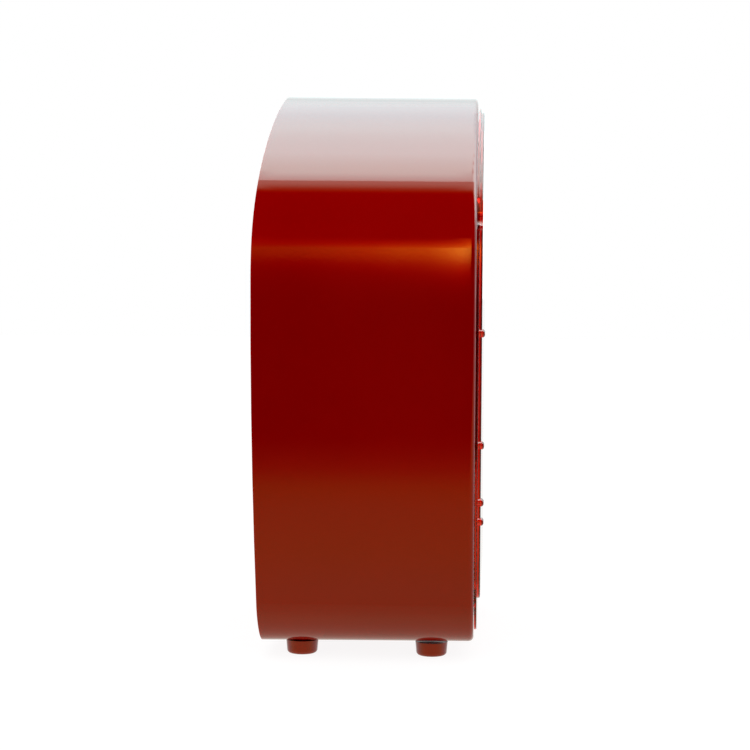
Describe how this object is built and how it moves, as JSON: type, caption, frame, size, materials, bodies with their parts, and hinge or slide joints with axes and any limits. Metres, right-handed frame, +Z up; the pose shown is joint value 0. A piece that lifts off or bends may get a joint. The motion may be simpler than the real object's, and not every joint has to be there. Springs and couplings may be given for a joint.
{
  "type": "mechanical metronome",
  "caption": "Key-wound pendulum metronome in a glossy ruby arch-topped case with a lift-off front cover, sliding weight and clockwork inside.",
  "frame": {"origin": "middle of the case's footprint on the standing plane, under the feet", "axes": "+Z up; the front cover faces -Y; the winding key is on the +X side; the pendulum swings about Y"},
  "size_m": [0.1207, 0.064, 0.16],
  "materials": {
    "ruby_case": "high-gloss moulded ruby plastic, slightly translucent",
    "ruby_clear": "high-gloss transparent ruby plastic",
    "black_plastic": "fine-textured moulded plastic",
    "scale_card": "satin white enamel with printed ticks",
    "bright_steel": "ground and lightly brushed",
    "blue_steel": "tempered spring steel",
    "weight_metal": "polished nickel plate",
    "brass": "machined brass",
    "zinc": "die-cast zinc",
    "key_metal": "polished nickel plate"
  },
  "bodies": {
    "case": {"case_shell": "ruby_case", "feet": "ruby_case", "back_cover": "ruby_case", "back_cover_screws": "bright_steel", "scale_panel": "black_plastic", "panel_screws": "bright_steel", "tempo_scale": "scale_card", "front_pendulum_bush": "brass", "rear_pendulum_bush": "brass", "pendulum_bridge": "brass", "bridge_screws": "bright_steel", "inner_plate": "brass", "outer_plate": "brass", "plate_spacers": "brass", "movement_screws": "bright_steel", "key_bush": "black_plastic", "click_stud": "bright_steel", "click_spring": "blue_steel"},
    "pendulum": {"pendulum_arbor": "bright_steel", "front_pallet": "blue_steel", "rear_pallet": "blue_steel", "rod_hub": "brass", "counterweight": "zinc", "pendulum_rod": "bright_steel"},
    "weight": {"sliding_weight": "weight_metal", "weight_spring": "blue_steel"},
    "cover": {"front_cover": "ruby_clear"},
    "winding": {"winding_arbor": "bright_steel", "ratchet_wheel": "bright_steel", "winding_key": "key_metal"},
    "click": {"click": "bright_steel"},
    "barrel": {"great_wheel": "brass", "barrel_drum": "brass", "barrel_cap": "brass", "mainspring": "blue_steel"},
    "centre": {"centre_arbor": "bright_steel", "centre_pinion": "bright_steel", "centre_wheel": "brass"},
    "escape": {"escape_arbor": "bright_steel", "escape_pinion": "bright_steel", "escape_wheel": "brass"}
  },
  "joints": [
    {"name": "pendulum_swing", "type": "hinge", "parent": "case", "child": "pendulum", "pos_m": [0, 0, 0.046], "axis": [0, 1, 0], "range_deg": [-20, 20]},
    {"name": "weight_slide", "type": "slide", "parent": "pendulum", "child": "weight", "axis": [0, 0, 1], "range_m": [-0.034, 0.034]},
    {"name": "cover_lift", "type": "slide", "parent": "case", "child": "cover", "axis": [0, -1, 0], "range_m": [0, 0.06]},
    {"name": "winding_turn", "type": "hinge", "parent": "case", "child": "winding", "pos_m": [0, 0.002, 0.073], "axis": [1, 0, 0], "continuous": true},
    {"name": "click_pivot", "type": "hinge", "parent": "case", "child": "click", "pos_m": [0, -0.007, 0.0823], "axis": [1, 0, 0], "range_deg": [0, 12], "stiffness_Nm_per_rad": 0.002, "springref_deg": -11.46, "deforming": ["click_spring"]},
    {"name": "barrel_turn", "type": "hinge", "parent": "case", "child": "barrel", "pos_m": [0, 0.002, 0.073], "axis": [1, 0, 0], "continuous": true},
    {"name": "centre_turn", "type": "hinge", "parent": "case", "child": "centre", "pos_m": [0, 0.01015, 0.05561], "axis": [1, 0, 0], "continuous": true},
    {"name": "escape_turn", "type": "hinge", "parent": "case", "child": "escape", "pos_m": [0, 0.002, 0.046], "axis": [1, 0, 0], "continuous": true}
  ],
  "couplings": [
    {"joint": "centre_turn", "follows": "barrel_turn", "ratio": -4},
    {"joint": "escape_turn", "follows": "barrel_turn", "ratio": 16}
  ]
}
